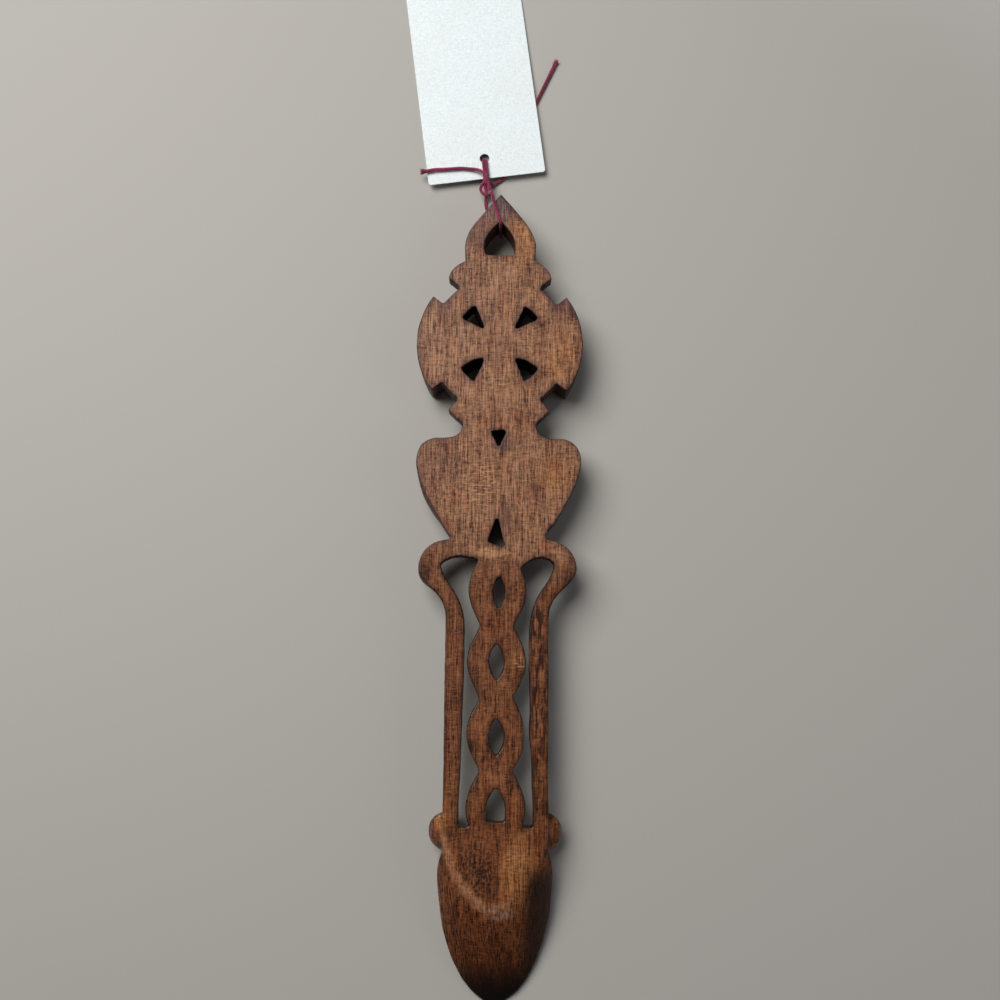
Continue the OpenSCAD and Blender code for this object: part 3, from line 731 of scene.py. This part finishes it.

# The bowl: a pale ridge round its flat, partly polish and partly painted highlight that is stronger
# on the left, a painted highlight at the flat's end, darker wood below, and painted shade, near
# black, at the tip and down the right
ridge_wander = times(patchy(tree, place, 5, 2, shift=12.0), 2.5)
worn_ridge_and_highlight = times(spread(tree, plus(to_ridge_at, ridge_wander), 4.6, 1.4),
              spread(tree, across, 14, -8, 0.1, 1))
tone = over(tone, times(worn_ridge_and_highlight, 0.75), grained((112, 66, 40), (196, 142, 104)))
# Painted highlight: a pale glossy patch where the flat of the bowl ends
painted_sheen = times(spot(2, -132.5, 7, 1.0, 0.5), spread(tree, patchy(tree, place, 3, 2), 0.35, 0.55))
tone = over(tone, times(painted_sheen, 0.65), grained((100, 64, 52), (192, 150, 130)))
tone = over(tone, spread(tree, height_on, -124, -150, 0, 0.35), rgb(34, 14, 6))
# Painted shade: black at the tip, where the bowl turns steeply away from the light, and dark down the
# right slope
low_bowl = plus(along, times(minus(uneven, 0.5), 14.0))
tone = over(tone, spread(tree, low_bowl, -146, -166), rgb(20, 12, 9))
bowl_right_shade = times(spread(tree, plus(across, times(uneven, 4.0)), 11, 18),
                   spread(tree, along, -108, -122))
tone = over(tone, times(bowl_right_shade, 0.8), rgb(26, 17, 14))

# Walls: cut edges drink the stain, and painted shade darkens them nearly to black where they close
# in, most of all in the small holes
wall = spread(tree, tilt, 0.78, 0.35)
on_handle = spread(tree, along, -104, -96)
tone = over(tone, times(times(wall, on_handle), 0.85), grained((36, 21, 15), (74, 46, 32)))
tone = over(tone, times(spread(tree, hole_shade_at, 0.05, 0.45), 0.92), rgb(10, 6, 5))

# Texture: open fibres, hammered dimples left of the middle, short rays that stand up
dimple_place = add(tree, "ShaderNodeMapping", Vector=place, Rotation=(0, 0, 0.5),
                   Scale=tuple(1 / (size * MM) for size in DIMPLE)).outputs[0]
cells = add(tree, "ShaderNodeTexVoronoi", {"feature": "F1"}, Vector=dimple_place,
            Scale=1.0).outputs["Distance"]
dimpled = strongest([spot(-22, 43, 13, 0.8, 1.2), spot(-9, -114, 11, 1.0, 1.5),
                     spot(-13, -90, 6, 0.5)])
dimples = times(dimpled, spread(tree, cells, 0.5, 0.1))
tone = over(tone, times(dimples, 0.45), stain)
rims = times(dimpled, spread(tree, cells, 0.5, 0.8))
tone = over(tone, times(rims, 0.3), rgb(166, 112, 80))
tree.links.new(tone, wood.inputs["Base Color"])
surface = minus(plus(times(streak, 0.45), times(rays, 0.3)), times(dimples, 1.1))
bump = add(tree, "ShaderNodeBump", Strength=0.8, Distance=0.22 * MM, Height=surface)
tree.links.new(bump.outputs[0], wood.inputs["Normal"])

# Varnish: thin on the dry head, thicker on the bowl, and dull in the shade on its right and tip
varnished = spread(tree, height_on, 20, -90)
dullness = plus(spread(tree, varnished, 0, 1, 0.5, 0.34), times(minus(0.5, streak), 0.12))
tree.links.new(dullness, wood.inputs["Roughness"])
lit_part = times(spread(tree, along, -160, -132, 0.1, 1.0), spread(tree, across, 19, 10, 0.3, 1.0))
coat = times(spread(tree, varnished, 0, 1, 0.08, 0.42), lit_part)
tree.links.new(coat, wood.inputs["Coat Weight"])
wood.inputs["Coat Roughness"].default_value = 0.2
wood.inputs["Specular IOR Level"].default_value = 0.12
spoon.data.materials.clear()
spoon.data.materials.append(stained_wood)
spoon.data.shade_smooth()
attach(spoon, "spoon")
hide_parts("spoon")


# Floor and light: a plain pale table, a broad soft window from the upper left and a pale room.
# Far from the part the table fades into the room's own paleness, so no edge of it is seen.

# The table's half width and where it fades, in metres from the middle
PALE = rgb(186, 185, 182)
FLOOR = 30
FADE_START, FADE_END = 0.29, 0.5
table, tree, paint, place = material("pale_table")
paint.inputs["Base Color"].default_value = rgb(176, 173, 168)
paint.inputs["Roughness"].default_value = 0.7
paint.inputs["Specular IOR Level"].default_value = 0.3
far_off = add(tree, "ShaderNodeVectorMath", {"operation": "LENGTH"}, i0=place).outputs["Value"]
seen = tree.nodes.new("ShaderNodeLightPath").outputs["Is Camera Ray"]
haze = add(tree, "ShaderNodeEmission", Color=PALE, Strength=1.0).outputs[0]
share = times(spread(tree, far_off, FADE_START, FADE_END), seen)
ends = tree.nodes["Material Output"].inputs["Surface"]
both = add(tree, "ShaderNodeMixShader", i0=share, i1=paint.outputs[0], i2=haze).outputs[0]
tree.links.new(both, ends)
floor_data = bpy.data.meshes.new("floor")
floor_data.from_pydata([(FLOOR * a, FLOOR * b, 0) for a, b in ((-1, -1), (1, -1), (1, 1), (-1, 1))],
                       [], [(0, 1, 2, 3)])
floor_data.materials.append(table)
floor = bpy.data.objects.new("floor", floor_data)
bpy.context.scene.collection.objects.link(floor)
floor.location.z = -0.05 * MM


def soft_light(name, at, aim, width, height, power, colour):
    lamp = bpy.data.lights.new(name, "AREA")
    lamp.shape, lamp.size, lamp.size_y = "RECTANGLE", width, height
    lamp.energy, lamp.color = power, colour
    holder = bpy.data.objects.new(name, lamp)
    bpy.context.scene.collection.objects.link(holder)
    holder.location = at
    holder.rotation_euler = (Vector(aim) - Vector(at)).to_track_quat("-Z", "Y").to_euler()


soft_light("window", at=(-0.48, 0.52, 0.98), aim=(0, 0.03, 0), width=0.85, height=0.85,
           power=15.6, colour=(1.0, 0.985, 0.955))
soft_light("far_wall", at=(0.75, -0.1, 0.42), aim=(0, 0, 0), width=0.6, height=0.5,
           power=0.9, colour=(0.95, 0.97, 1.0))
world = bpy.data.worlds.new("room")
bpy.context.scene.world = world
world.use_nodes = True
air = world.node_tree
room = air.nodes["Background"]
room.inputs["Color"].default_value = (0.90, 0.95, 1.0, 1)
room.inputs["Strength"].default_value = 0.075
backdrop = add(air, "ShaderNodeBackground", Color=PALE, Strength=1.0).outputs[0]
looked = air.nodes.new("ShaderNodeLightPath").outputs["Is Camera Ray"]
both = add(air, "ShaderNodeMixShader", i0=looked, i1=room.outputs[0], i2=backdrop).outputs[0]
air.links.new(both, air.nodes["World Output"].inputs["Surface"])
bpy.context.scene.view_settings.view_transform = "Standard"
